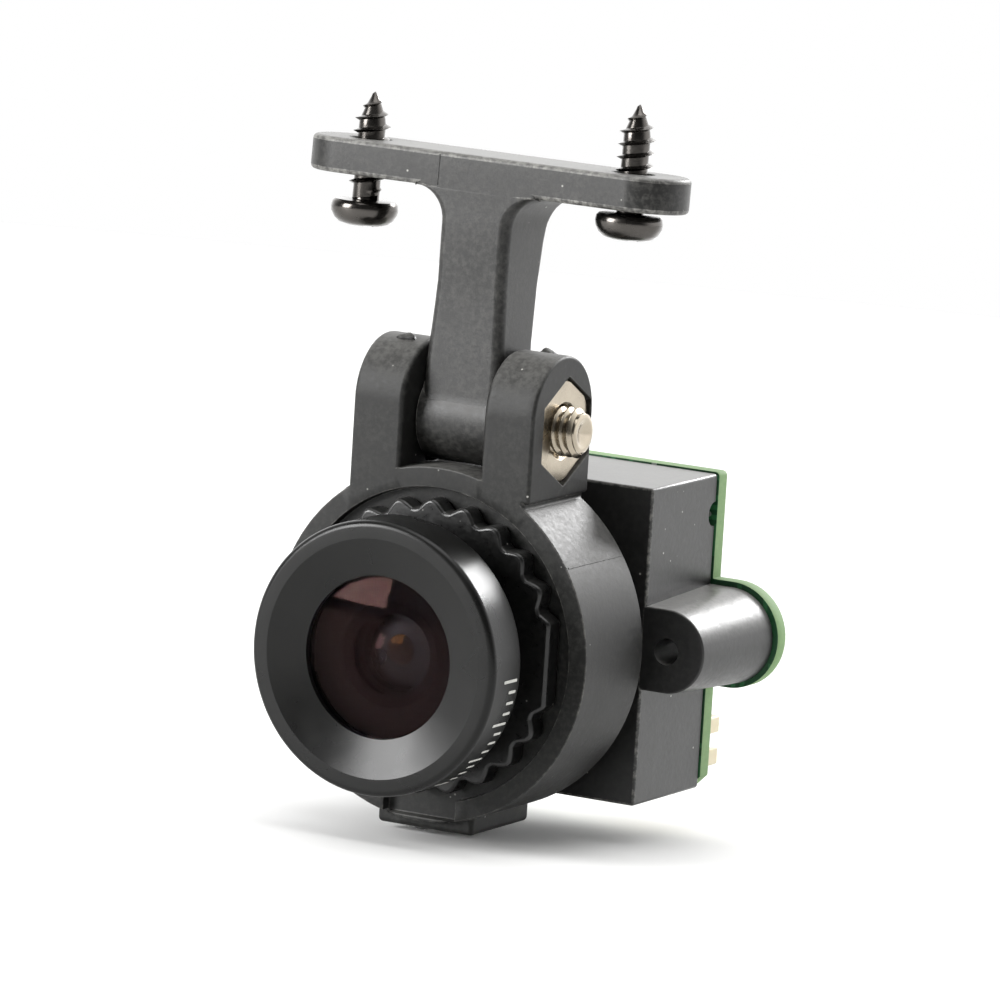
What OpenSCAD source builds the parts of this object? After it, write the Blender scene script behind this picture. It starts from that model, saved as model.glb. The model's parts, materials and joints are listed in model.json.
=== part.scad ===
// Tilting camera mount: a T-shaped bar bracket carries a clamp-ring yoke on one
// pivot bolt, and the ring holds a small board camera with an M12 lens.
// The origin is the centre of the bar's mounting face. The lens looks along -Y.

/* [Mounting bar] */
// Height of the mounting face above the tilt pivot
pivot_drop = 15.5; // [14:0.1:20]
// Length of the bar over its round ends
bar_l = 24.6; // [23:0.1:34]
// Depth of the bar, front to back
bar_d = 5.4; // [5.2:0.1:6]
// Thickness of the bar
bar_t = 2.1; // [1.6:0.1:3]
// Distance between the two fixing screws
screw_pitch = 17.6; // [16:0.1:18.4]
// Width of the stem below the bar
stem_w = 4.6; // [4:0.1:4.8]

/* [Fixing screws] */
// Core radius of the self-tapping screws
tap_core_r = 0.8; // [0.7:0.05:0.9]
// Crest radius of their thread
tap_crest_r = 1.1; // [1:0.05:1.15]
// Pitch of their thread
tap_pitch = 0.75; // [0.7:0.05:0.8]
// Length below the head
tap_l = 6.4; // [6:0.1:7]
// Gap between the left screw's head and the bar
left_head_gap = 1.55; // [0.5:0.05:1.6]
// Gap between the right screw's head and the bar
right_head_gap = 0.3; // [0.1:0.05:1]

/* [Yoke] */
// Tilt of the camera in the stored pose, nose down
tilt_rest = 4; // [0:1:20]
// Distance from the pivot down to the lens axis
lens_drop = 13; // [13:0.1:14]
// Outer radius of the clamp ring
ring_r = 10.5; // [10.4:0.1:10.8]
// Front face of the ring and ears
ring_front = -4.1; // [-4.3:0.1:-4]
// Back face of the ring
ring_back = 2.8; // [2.7:0.1:3]
// Gap between the ears
ear_gap = 5.4; // [5.2:0.1:5.6]
// Distance over both ears
ears_w = 12.1; // [11.8:0.1:12.4]

/* [Camera] */
// Width and height of the housing
box_w = 19; // [18.8:0.1:20]
// Front face of the housing
box_front = 4.8; // [4.6:0.1:5]
// Back face of the housing, where the board starts
box_back = 12.9; // [12.5:0.1:13.5]
// Distance between the holes in the side lugs
lug_pitch = 22; // [22:0.1:23]
// Radius of the holes in the side lugs
lug_hole_r = 0.8; // [0.6:0.05:0.9]
// Thickness of the circuit board
board_t = 1; // [0.8:0.1:1.6]

/* [Lens] */
// Outer radius of the hood
hood_r = 8.1; // [8:0.1:8.4]
// Front edge of the hood
hood_front = -10.8; // [-11:0.1:-10.6]
// Back edge of the hood
hood_back = -7.5; // [-7.7:0.1:-7.4]
// Outer radius of the M12 lens thread
m12_r = 6; // [5.9:0.05:6]
// Crest radius of the lock ring's lobes
lobe_tip_r = 8.75; // [8.6:0.05:8.9]
// Number of lobe places round the lock ring
lobes = 24; // [20:1:28]

/* [Hidden] */
$fn = 96;

plastic = "#2b2c2e";
anodised = "#1b1b1d";
nickel = "#c9c3b6";
black_nickel = "#2c2b2b";
glass_tint = "#31304a";
board_green = "#4f9a63";
cream = "#e6dcc0";
brass = "#c8a862";

slip = 0.06;            // radial clearance of a turning fit
face_gap = 0.05;        // gap between faces that turn on each other
screw_x = screw_pitch / 2;
bar_bevel = 0.25;
tap_hole_r = 1.25;
pivot_r = 1.47;         // shank of the M3 pivot bolt
boss_r = 2.7;
boss_w = ear_gap - 0.2;
stem_front = -2.5;
fillet_r = 2;

ear_inner = ear_gap / 2;
ear_outer = ears_w / 2;
ear_back = 3.1;
ear_r = (ear_back - ring_front) / 2;
ear_mid_y = (ear_back + ring_front) / 2;
ear_top_z = 0.9;        // centre of the ears' round tops above the pivot
pad_bottom = -3.95;     // lower edge of the thick pad round the nut
nut_af = 5.5;
pocket_af = 5.6;
nut_t = 2.3;
nut_face = ear_outer - 0.2;
head_r = 2.75;          // countersunk head, flush with the left ear
head_rim = 0.15;

turret_r = 9.2;         // round front of the housing, inside the ring
turret_front = -2.15;
lip_front = -3.4;       // thin lip in the ring that the lock ring clamps
lip_back = turret_front - face_gap;
lip_r = 7.7;
spigot_r = lip_r - 0.1;
spigot_front = lip_front + 0.1;
foot_half = 3.2;
foot_drop = 11.1;
key_half = 2.4;

wall = 1.2;
front_wall = 1.5;
cavity_front = box_front + front_wall;
lug_x = lug_pitch / 2;
lug_r = 2.5;
lug_back_r = 2.9;
board_hole_r = 1.1;     // clearance in the board's ears behind the lug holes
board_back = box_back + board_t;
corner = box_w / 2 - 2;     // place of the two board screws
post_r = 1.6;               // corner posts that take them
pilot_r = 0.6;
board_screw_r = 0.58;
board_screw_hole_r = 1;
board_screw_head_r = 1.4;
board_w = box_w + 0.2;
board_ear_r = 3.2;
relief_r = 0.75;            // half-round relief at the board's edge
relief_rise = 7.1;

sensor = [11, 10, 1.4];
sensor_well = [8.2, 7.2];
cover_glass = [9.2, 8.2, 0.35];
filter_size = [10, 10, 0.3];
chip_size = [7, 7, 0.9];
regulator_size = [2.9, 1.5, 1.1];
crystal_size = [3.2, 2.5, 0.8];
resistor = [1, 0.55, 0.45];
capacitor = [1.25, 0.8, 0.7];
header = [6, 3, 3.3];       // connector shell
header_wall = 0.5;
header_floor = 0.8;
header_place = [2.5, 5.8];
pin_w = 0.4;
pin_pitch = 1.25;
pin_length = 2.9;

ring_seat = lip_front - face_gap;
lock_front = -4.9;
lobe_r = 0.75;
flat_half = 8.35;
glass_r = 4.8;          // opening of the hood
rim_r = 7.05;           // outer edge of the hood's cone
cone_back = -10.1;
cup_r = 6.2;            // front cup of the barrel
cup_front = -9.7;
cup_back = -7.2;
tube_back = 5.5;
cell_r = 5.03;          // bore that holds the front glass and its spacer
cell_front = -8.5;
cell_back = -7.05;
small_glass_r = 2.9;    // second, cemented and rear glasses
small_bore_r = 2.93;
front_crown = 20;       // radii of the ground faces
front_hollow = 3.2;
second_crown = 4.6;
doublet_crown = 5.25;
rear_crown = 6;
stop_r = 2.3;

// Camera frame: the pivot is its origin, turned by the stored tilt.
module in_camera() {
    translate([0, 0, -pivot_drop]) rotate([tilt_rest, 0, 0]) children();
}

// Lens frame: local Z runs backwards along the lens axis, counted from the pivot's plane.
module on_lens_axis() {
    in_camera() translate([0, 0, -lens_drop]) rotate([-90, 0, 0]) children();
}

// A disc or ring round the lens axis between two places along it.
module lens_ring(outer, inner, from, to) {
    on_lens_axis() difference() {
        translate([0, 0, from]) cylinder(r = outer, h = to - from);
        translate([0, 0, from - 1]) cylinder(r = inner, h = to - from + 2);
    }
}

// A hexagon prism along X, vertices up and down, standing on the plane x = 0.
module hex_x(across_flats, length) {
    rotate([0, 90, 0]) cylinder(r = across_flats / sqrt(3), h = length, $fn = 6);
}

// ---------------------------------------------------------------- bracket

// Half of the bar's section: full depth in the middle, bevelled along both edges.
function bar_section(half) = [
    [0, 0], [half - bar_bevel / 2, 0], [half, -bar_bevel / 2],
    [half, -bar_t + bar_bevel], [half - bar_bevel, -bar_t], [0, -bar_t]];

module bar() {
    end_x = (bar_l - bar_d) / 2;
    for (side = [-1, 1])
        translate([side * end_x, 0, 0]) rotate_extrude() polygon(bar_section(bar_d / 2));
    for (side = [0, 1])
        mirror([0, side, 0]) rotate([90, 0, 90])
            translate([0, 0, -end_x]) linear_extrude(2 * end_x) polygon(bar_section(bar_d / 2));
}

// Front view of the stem: slightly wider at the boss, filleted into the bar.
module stem_front_view() {
    half = stem_w / 2;
    top = pivot_drop - bar_t;
    polygon([[-half - 0.25, 0], [half + 0.25, 0], [half + 0.25, 3], [half, 8],
        [half, top + 0.5], [-half, top + 0.5], [-half, 8], [-half - 0.25, 3]]);
    difference() {
        translate([-half - fillet_r, top - fillet_r]) square([stem_w + 2 * fillet_r, fillet_r + 0.5]);
        for (side = [-1, 1])
            translate([side * (half + fillet_r), top - fillet_r]) circle(r = fillet_r);
    }
}

// Side view of the stem: flat front, back tapering down to the boss.
module stem_side_view() {
    back = bar_d / 2;
    polygon([[stem_front, 0], [1.75, 0], [1.75, 4.7], [back - 0.35, 10.6], [back, 12.2],
        [back, pivot_drop - bar_t + 0.5], [stem_front, pivot_drop - bar_t + 0.5]]);
}

module mount_bracket() color(plastic) difference() {
    union() {
        bar();
        translate([0, 0, -pivot_drop]) {
            intersection() {
                translate([0, bar_d, 0]) rotate([90, 0, 0]) linear_extrude(2 * bar_d) stem_front_view();
                translate([-bar_l / 2, 0, 0]) rotate([90, 0, 90]) linear_extrude(bar_l) stem_side_view();
            }
            translate([-boss_w / 2, 0, 0]) rotate([0, 90, 0]) cylinder(r = boss_r, h = boss_w);
        }
    }
    translate([-boss_w, 0, -pivot_drop]) rotate([0, 90, 0]) cylinder(r = pivot_r + slip, h = 2 * boss_w);
    for (side = [-1, 1])
        translate([side * screw_x, 0, -bar_t - 1]) cylinder(r = tap_hole_r, h = bar_t + 2);
}

// Pan-head self-tapping screw, head down. Local Z runs from the head's seat to the point.
module tapping_screw() {
    head_w = 2;
    drive_w = 0.45;
    rings = floor((tap_l - 1.6) / tap_pitch);
    difference() {
        rotate_extrude() polygon([[0, -1.5], [1.2, -1.5], [1.75, -1.15], [head_w, -0.6],
            [head_w, -0.25], [1.75, 0], [0, 0]]);
        for (turn = [0, 90])
            rotate([0, 0, turn]) translate([-1, -drive_w / 2, -2]) cube([2, drive_w, 1.3]);
    }
    cylinder(r = tap_core_r, h = tap_l - 1.4);
    translate([0, 0, tap_l - 1.4]) cylinder(r1 = tap_core_r, r2 = 0.12, h = 1.4);
    for (i = [0 : rings - 1])
        translate([0, 0, 0.9 + i * tap_pitch]) rotate_extrude()
            polygon([[0.4, -0.15], [tap_core_r, -0.15], [tap_crest_r, 0], [tap_core_r, 0.15], [0.4, 0.15]]);
}

module left_mount_screw() color(black_nickel)
    translate([-screw_x, 0, -bar_t - left_head_gap]) tapping_screw();

module right_mount_screw() color(black_nickel)
    translate([screw_x, 0, -bar_t - right_head_gap]) tapping_screw();

// ------------------------------------------------------------------- yoke

// Side view of an ear: a round top above the pivot, straight down into the ring.
module ear_side_view() {
    translate([ear_mid_y, ear_top_z]) circle(r = ear_r);
    translate([ring_front, -lens_drop + 6]) square([2 * ear_r, lens_drop - 6 + ear_top_z]);
}

// Front view of both ears. The right one has a thicker pad round the nut.
module ear_front_view() {
    top = ear_top_z + ear_r + 0.1;
    foot_z = -lens_drop + 6;
    polygon([[-ear_outer, foot_z], [-ear_inner, foot_z], [-ear_inner, top], [-ear_outer + 0.1, top]]);
    polygon([[ear_inner, foot_z], [ear_outer - 0.3, foot_z], [ear_outer - 0.3, pad_bottom],
        [ear_outer + 0.1, pad_bottom], [ear_outer - 0.1, top], [ear_inner, top]]);
}

// Small fillet where an ear's outer face runs into the ring.
module ear_root(side) {
    z = -lens_drop + sqrt(ring_r * ring_r - ear_outer * ear_outer);
    difference() {
        translate([side > 0 ? ear_outer - 1 : -ear_outer - 0.9, 0, z - 1.2])
            translate([0, ring_front, 0]) cube([1.9, ring_back - ring_front, 1.9]);
        translate([side * (ear_outer + 1), ring_front - 1, z + 0.75]) rotate([-90, 0, 0])
            cylinder(r = 1, h = 10);
    }
}

module tilt_yoke() color(plastic) in_camera() difference() {
    union() {
        translate([0, 0, -lens_drop]) rotate([-90, 0, 0]) translate([0, 0, ring_front])
            cylinder(r = ring_r, h = ring_back - ring_front);
        intersection() {
            translate([-ears_w, 0, 0]) rotate([90, 0, 90]) linear_extrude(2 * ears_w) ear_side_view();
            translate([0, 10, 0]) rotate([90, 0, 0]) linear_extrude(20) ear_front_view();
        }
        ear_root(-1);
        translate([-foot_half, ring_front + 0.8, -lens_drop - foot_drop])
            cube([2 * foot_half, ring_back - ring_front, foot_drop - 9.5]);
    }
    // Stepped bore: lock ring seat, clamped lip, and the turret's bore
    translate([0, 0, -lens_drop]) rotate([-90, 0, 0]) {
        translate([0, 0, -8]) cylinder(r = turret_r + 0.1, h = 8 + lip_front);
        translate([0, 0, -8]) cylinder(r = lip_r, h = 20);
        translate([0, 0, lip_back]) cylinder(r = turret_r + slip, h = 12);
    }
    // Notch under the lock ring
    translate([-key_half, ring_front - 1, -lens_drop - 10.25])
        cube([2 * key_half, lip_front - ring_front + 1, 2.5]);
    // Hollow that clears the bracket's boss
    translate([-ear_inner, 0, 0]) rotate([0, 90, 0]) cylinder(r = boss_r + 0.25, h = ear_gap);
    translate([-20, 0, 0]) rotate([0, 90, 0]) cylinder(r = pivot_r + 0.02, h = 40);
    countersink(0.05);
    translate([nut_face - nut_t - 0.05, 0, 0]) hex_x(pocket_af, 5);
}

// Shape of the countersunk head, grown by a clearance, with its flat face on the left ear.
module countersink(gap)
    translate([-ear_outer, 0, 0]) rotate([0, 90, 0]) {
        translate([0, 0, -gap]) cylinder(r = head_r + gap, h = head_rim + 2 * gap);
        translate([0, 0, head_rim + gap])
            cylinder(r1 = head_r + gap, r2 = pivot_r, h = head_r + gap - pivot_r);
    }

module pivot_bolt() color(nickel) in_camera() difference() {
    end = 7.2;
    union() {
        translate([-ear_outer + 0.5, 0, 0]) rotate([0, 90, 0])
            cylinder(r = pivot_r, h = end - 0.3 + ear_outer - 0.5);
        translate([end - 0.3, 0, 0]) rotate([0, 90, 0]) cylinder(r1 = pivot_r, r2 = pivot_r - 0.3, h = 0.3);
        countersink(0);
    }
    for (turn = [0, 90]) rotate([turn, 0, 0])
        translate([-ear_outer - 1, -1.5, -0.25]) cube([2, 3, 0.5]);
}

module pivot_nut() color(nickel) in_camera() difference() {
    intersection() {
        translate([nut_face - nut_t, 0, 0]) hex_x(nut_af, nut_t);
        translate([nut_face - nut_t, 0, 0]) rotate([0, 90, 0]) rotate_extrude()
            polygon([[0, 0], [2.7, 0], [3.3, 0.35], [3.3, nut_t - 0.35], [2.7, nut_t], [0, nut_t]]);
    }
    rotate([0, 90, 0]) cylinder(r = pivot_r + 0.02, h = 20);
}

// ----------------------------------------------------------------- camera

// Outline of the housing in the lens frame, with slightly rounded corners.
module box_outline(width, r) {
    half = width / 2;
    square([width - 2 * r, width], center = true);
    square([width, width - 2 * r], center = true);
    for (x = [-1, 1], y = [-1, 1])
        translate([x * (half - r), y * (half - r)]) circle(r = r);
}

// Side lug: a web and a tapered round pillar.
module lug(side) {
    length = box_back - box_front;
    translate([side * lug_x, 0, box_front]) cylinder(r1 = lug_r, r2 = lug_back_r, h = length);
    translate([side > 0 ? box_w / 2 - 1 : -lug_x, -lug_r, box_front])
        cube([lug_x - box_w / 2 + 1, 2 * lug_r, length]);
}

module camera_housing() color(plastic) on_lens_axis() difference() {
    union() {
        translate([0, 0, box_front]) linear_extrude(box_back - box_front) box_outline(box_w, 0.4);
        translate([0, 0, turret_front]) cylinder(r = turret_r, h = box_front - turret_front + 0.5);
        translate([0, 0, spigot_front]) cylinder(r = spigot_r, h = 2);
        for (side = [-1, 1]) lug(side);
    }
    translate([0, 0, spigot_front - 1]) cylinder(r = m12_r + slip, h = 20);
    difference() {
        translate([0, 0, cavity_front]) linear_extrude(10) square(box_w - 2 * wall, center = true);
        // Corner bosses for the board screws
        for (side = [-1, 1])
            translate([side * corner, -side * corner, 0]) cylinder(r = post_r, h = 20);
    }
    for (side = [-1, 1]) {
        translate([side * lug_x, 0, box_front - 1]) cylinder(r = lug_hole_r, h = 20);
        translate([side * corner, -side * corner, box_back - 4]) cylinder(r = pilot_r, h = 10);
        // Half-round relief in the side wall at the board's edge
        translate([side * (box_w / 2 - 2), -relief_rise, box_back - 0.15]) rotate([0, side * 90, 0])
            cylinder(r = relief_r, h = 5);
    }
}

module ir_cut_filter() color("#8fb7c9") on_lens_axis()
    translate([-filter_size.x / 2, -filter_size.y / 2, cavity_front + 0.02]) cube(filter_size);

// Board outline in the lens frame: the housing's square with the two ears.
module board_outline() {
    difference() {
        square(board_w, center = true);
        for (x = [-1, 1])
            translate([x * board_w / 2, board_w / 2]) rotate(45) square(1.1, center = true);
    }
    for (side = [-1, 1]) {
        translate([side * lug_x, 0]) circle(r = board_ear_r);
        translate([side * (lug_x - 2), 0]) square([4, 2 * board_ear_r], center = true);
    }
}

module sensor_board() color(board_green) on_lens_axis() difference() {
    translate([0, 0, box_back]) linear_extrude(board_t) board_outline();
    for (side = [-1, 1]) {
        translate([side * lug_x, 0, box_back - 1]) cylinder(r = board_hole_r, h = 5);
        translate([side * corner, -side * corner, box_back - 1]) cylinder(r = board_screw_hole_r, h = 5);
    }
}

module image_sensor() color("#3a3733") on_lens_axis() difference() {
    translate([-sensor.x / 2, -sensor.y / 2, box_back - sensor.z]) cube(sensor);
    translate([-sensor_well.x / 2, -sensor_well.y / 2, box_back - 3]) cube([sensor_well.x, sensor_well.y, 2.4]);
}

module sensor_cover_glass() color("#7d8a93") on_lens_axis()
    translate([-cover_glass.x / 2, -cover_glass.y / 2, box_back - sensor.z - cover_glass.z]) cube(cover_glass);

module dsp_chip() color("#1e1f21") on_lens_axis()
    translate([-5.5, -4.5, board_back]) cube(chip_size);

module voltage_regulator() color("#232427") on_lens_axis()
    translate([-7.6, 4.4, board_back]) cube(regulator_size);

module crystal_can() color(nickel) on_lens_axis()
    translate([3.2, -3.4, board_back]) cube(crystal_size);

// Small chip parts on the back of the board.
module board_components() color("#b7a78a") on_lens_axis() {
    for (i = [0 : 4])
        translate([-5.6 + i * 1.7, -7.6, board_back]) cube(resistor);
    for (i = [0 : 3])
        translate([3.1 + i * 1.5, 0.4, board_back]) cube([resistor.y, resistor.x, resistor.z]);
    for (i = [0 : 2])
        translate([-4.2 + i * 1.8, 4.6, board_back]) cube(capacitor);
}

module board_screws() color(nickel) on_lens_axis()
    for (side = [-1, 1]) translate([side * corner, -side * corner, 0]) {
        translate([0, 0, box_back - 3.9]) cylinder(r = board_screw_r, h = 3.9 + board_t + 0.3);
        translate([0, 0, board_back]) difference() {
            cylinder(r = board_screw_head_r, h = 0.8);
            for (turn = [0, 90]) rotate([0, 0, turn]) translate([-0.8, -0.15, 0.4]) cube([1.6, 0.3, 1]);
        }
    }

// Three-way header at the lower edge of the board, open to the back.
module signal_connector() color(cream) on_lens_axis() difference() {
    translate([header_place.x, header_place.y, board_back]) cube(header);
    translate([header_place.x + header_wall, header_place.y + header_wall, board_back + header_floor])
        cube([header.x - 2 * header_wall, header.y - 2 * header_wall, 4]);
    pins(-1, 4);
}

// Three square pins in the middle of the header.
module pins(from, length)
    for (i = [-1 : 1])
        translate([header_place.x + header.x / 2 + i * pin_pitch - pin_w / 2,
            header_place.y + header.y / 2 - pin_w / 2, board_back + from]) cube([pin_w, pin_w, length]);

module connector_pins() color(brass) on_lens_axis() pins(0, pin_length);

// ------------------------------------------------------------------- lens

module lens_lock_ring() color(anodised) on_lens_axis() difference() {
    translate([0, 0, lock_front]) linear_extrude(ring_seat - lock_front) intersection() {
        union() {
            circle(r = lobe_tip_r - 0.7);
            for (i = [0 : lobes - 1])
                rotate(i * 360 / lobes) translate([lobe_tip_r - lobe_r, 0]) circle(r = lobe_r);
            // Two flats for a spanner, with no grooves in them
            square([2 * flat_half, 2 * sqrt(pow(lobe_tip_r, 2) - pow(flat_half, 2))], center = true);
        }
        square([2 * flat_half, 20], center = true);
    }
    translate([0, 0, lock_front - 1]) cylinder(r = m12_r + slip, h = 5);
}

// Outer glass: a strong meniscus held by the hood's lip.
module front_element() color(glass_tint) on_lens_axis() intersection() {
    translate([0, 0, -10.4]) cylinder(r = glass_r + 0.35, h = cell_front + 10.4);
    difference() {
        translate([0, 0, front_crown - 10.35]) sphere(r = front_crown);
        translate([0, 0, -6.3]) sphere(r = front_hollow);
    }
    // The rim sits behind the lip; only the crown reaches past it
    union() {
        translate([0, 0, cone_back + 0.37]) cylinder(r = glass_r + 0.35, h = 2);
        translate([0, 0, -11]) cylinder(r = glass_r - 0.1, h = 2);
    }
}

module front_spacer() color(anodised) on_lens_axis() difference() {
    translate([0, 0, cell_front + 0.05]) cylinder(r = cell_r - 0.03, h = cell_back - cell_front - 0.05);
    translate([0, 0, cell_front + 0.04]) cylinder(r1 = 3.1, r2 = stop_r, h = 0.6);
    translate([0, 0, -9]) cylinder(r = stop_r, h = 4);
}

module second_element() color(glass_tint) on_lens_axis() intersection() {
    translate([0, 0, -7.04]) cylinder(r = small_glass_r, h = 1.5);
    translate([0, 0, second_crown - 7]) sphere(r = second_crown);
}

module aperture_stop() color(anodised) lens_ring(small_glass_r, 0.7, -5.52, -5.32);

module doublet_element() color(glass_tint) on_lens_axis() intersection() {
    translate([0, 0, -5.3]) cylinder(r = small_glass_r, h = 2.8);
    translate([0, 0, 0]) sphere(r = doublet_crown);
}

module mid_spacer() color(anodised) lens_ring(small_glass_r, 2.2, -2.45, 1.9);

module rear_element() color(glass_tint) on_lens_axis() intersection() {
    translate([0, 0, 1.95]) cylinder(r = small_glass_r, h = 1.9);
    translate([0, 0, 3.8 - rear_crown]) sphere(r = rear_crown);
}

module rear_retaining_ring() color(anodised) lens_ring(small_glass_r, 2, 3.87, 4.7);

// Threaded barrel: a wide front cup for the big glass, then the M12 tube.
module lens_barrel() color(anodised) on_lens_axis() difference() {
    union() {
        translate([0, 0, cup_front]) cylinder(r = cup_r, h = cup_back - cup_front);
        translate([0, 0, cup_back - 0.1]) cylinder(r = m12_r, h = tube_back - cup_back + 0.1);
    }
    translate([0, 0, -12]) cylinder(r = cell_r + 0.17, h = cell_front + 12);
    translate([0, 0, cell_front - 0.1]) cylinder(r = cell_r, h = cell_back - cell_front + 0.1);
    translate([0, 0, cell_back - 0.1]) cylinder(r = small_bore_r, h = 14);
}

// Hood: a turned ring with a shallow front cone that ends at the glass.
module lens_hood() color(anodised) on_lens_axis() rotate_extrude()
    polygon([[rim_r, hood_front], [hood_r - 0.35, hood_front], [hood_r - 0.1, hood_front + 0.1],
        [hood_r, hood_front + 0.35], [hood_r, hood_back - 0.2], [hood_r - 0.2, hood_back],
        [6.25, hood_back], [6.25, cone_back + 0.35], [glass_r, cone_back + 0.35], [glass_r, cone_back]]);

mount_bracket();
left_mount_screw();
right_mount_screw();
tilt_yoke();
pivot_bolt();
pivot_nut();
camera_housing();
ir_cut_filter();
sensor_board();
image_sensor();
sensor_cover_glass();
dsp_chip();
voltage_regulator();
crystal_can();
board_components();
board_screws();
signal_connector();
connector_pins();
lens_lock_ring();
front_element();
second_element();
aperture_stop();
doublet_element();
rear_element();
lens_barrel();
lens_hood();
front_spacer();
mid_spacer();
rear_retaining_ring();
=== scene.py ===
"""Looks of the tilting camera mount: a T-shaped bracket, a clamp-ring yoke and a board camera.

Pieces are made in millimetres about the tilt pivot, with the lens looking along -Y, and then
set into the frame in metres. The yoke and the camera are turned by the stored tilt as they go in.
"""
import json
import math

import bpy
from mathutils import Matrix, Quaternion, Vector


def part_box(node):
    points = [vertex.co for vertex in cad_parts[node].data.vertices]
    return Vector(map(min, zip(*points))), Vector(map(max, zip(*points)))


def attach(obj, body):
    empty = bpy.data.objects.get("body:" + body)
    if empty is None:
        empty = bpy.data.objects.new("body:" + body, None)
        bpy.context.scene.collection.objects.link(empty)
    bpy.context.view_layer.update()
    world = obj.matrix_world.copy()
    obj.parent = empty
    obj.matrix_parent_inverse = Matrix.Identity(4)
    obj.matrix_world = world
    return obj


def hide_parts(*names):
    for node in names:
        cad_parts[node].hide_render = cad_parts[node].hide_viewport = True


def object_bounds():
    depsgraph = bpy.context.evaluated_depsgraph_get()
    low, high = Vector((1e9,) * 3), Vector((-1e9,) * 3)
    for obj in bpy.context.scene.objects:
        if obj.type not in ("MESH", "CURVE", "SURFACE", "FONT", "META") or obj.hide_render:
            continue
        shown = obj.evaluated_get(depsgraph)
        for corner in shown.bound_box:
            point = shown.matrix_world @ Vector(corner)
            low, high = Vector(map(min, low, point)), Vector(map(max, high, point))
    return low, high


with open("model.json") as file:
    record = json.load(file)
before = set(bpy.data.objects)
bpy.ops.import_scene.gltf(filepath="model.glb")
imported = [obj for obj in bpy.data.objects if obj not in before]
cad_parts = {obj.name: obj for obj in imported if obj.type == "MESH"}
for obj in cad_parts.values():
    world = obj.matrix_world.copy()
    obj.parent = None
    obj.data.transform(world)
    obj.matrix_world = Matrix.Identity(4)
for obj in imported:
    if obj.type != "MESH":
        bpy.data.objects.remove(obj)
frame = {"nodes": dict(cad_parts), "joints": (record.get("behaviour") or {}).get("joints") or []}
cad_low, cad_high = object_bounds()
joints = {joint["name"]: joint for joint in frame["joints"]}
scene = bpy.context.scene

# ------------------------------------------------------------------ camera
# A long lens stands at the front right, a little above the mount, and is held slightly rolled.
# It is far away, so that the mount shows almost no perspective.
view_azimuth, view_elevation, view_roll = 28.305, 5.843, 5.485
view_distance = 0.6
view_target = Vector((0.00184, 0.000454, -0.020118))
azimuth, elevation = math.radians(view_azimuth), math.radians(view_elevation)
towards_viewer = Vector((
    math.sin(azimuth) * math.cos(elevation),
    -math.cos(azimuth) * math.cos(elevation),
    math.sin(elevation),
))
bpy.ops.object.camera_add(location=view_target + towards_viewer * view_distance)
camera = bpy.context.object
camera.rotation_mode = "QUATERNION"
roll = Quaternion((0, 0, 1), math.radians(view_roll))
camera.rotation_quaternion = (-towards_viewer).to_track_quat("-Z", "Y") @ roll
camera.data.lens = 368.57
camera.data.sensor_width = 36
camera.data.clip_start, camera.data.clip_end = 0.01, 20
scene.camera = camera

# ---------------------------------------------------------- mount bracket
# One T-shaped moulding of glass-filled nylon: a round-ended bar, a stem that flares into it with
# two fillets, and a round boss at the foot that turns on the pivot bolt.
MM = 0.001
WELD = 0.0005  # points closer than this, in millimetres, are one point
pivot = Vector(joints["tilt"]["pos_m"])
bar_top = -pivot.z / MM
bar_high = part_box("mount_bracket")[1]
bar_half = bar_high.x / MM
bar_end_r = bar_high.y / MM
bar_thickness = 2.1
bar_bottom = bar_top - bar_thickness
stem_half, stem_foot_half, stem_front, stem_back, stem_corner_r = 2.3, 2.55, -2.5, 1.75, 0.62
fillet_r = 2.0
boss_r, boss_half = 2.7, 2.6
pivot_hole_r, screw_hole_r = 1.53, 1.25
lens_z = -13.0
on_lens = (0, lens_z)
lens_axis = Vector(joints["camera_roll"]["axis"])
stored_tilt = math.atan2(lens_axis.z, lens_axis.y)


def arc(across, up, radius, start, end, steps):
    """Points along an arc, with its angles in degrees."""
    turns = [math.radians(start + (end - start) * i / steps) for i in range(steps + 1)]
    return [(across + radius * math.cos(t), up + radius * math.sin(t)) for t in turns]


def rounded(left, low, right, high, radius, steps=5):
    """A rectangle's outline with round corners."""
    return (
        arc(right - radius, low + radius, radius, -90, 0, steps)
        + arc(right - radius, high - radius, radius, 0, 90, steps)
        + arc(left + radius, high - radius, radius, 90, 180, steps)
        + arc(left + radius, low + radius, radius, 180, 270, steps)
    )


def apply_change(piece, change):
    """Applies one modifier to a piece."""
    bpy.ops.object.select_all(action="DESELECT")
    piece.select_set(True)
    bpy.context.view_layer.objects.active = piece
    bpy.ops.object.modifier_apply(modifier=change.name)


def drawn_line(name, points):
    """A closed line: a circle whose vertices are moved to the points. It is left in edit mode."""
    bpy.ops.object.select_all(action="DESELECT")
    bpy.ops.mesh.primitive_circle_add(vertices=len(points), radius=1)
    line = bpy.context.object
    line.name = name
    for vertex, point in zip(line.data.vertices, points):
        vertex.co = point
    bpy.ops.object.mode_set(mode="EDIT")
    bpy.ops.mesh.select_all(action="SELECT")
    return line


def close_up(piece):
    """Merges doubles, turns the faces outwards and leaves edit mode."""
    bpy.ops.mesh.select_all(action="SELECT")
    bpy.ops.mesh.remove_doubles(threshold=WELD)
    bpy.ops.mesh.normals_make_consistent(inside=False)
    bpy.ops.object.mode_set(mode="OBJECT")
    return piece


def placed(axis, along, u, v):
    """A point by its place along one axis and its places on the two others."""
    return {"X": (along, u, v), "Y": (u, along, v), "Z": (u, v, along)}[axis]


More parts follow.
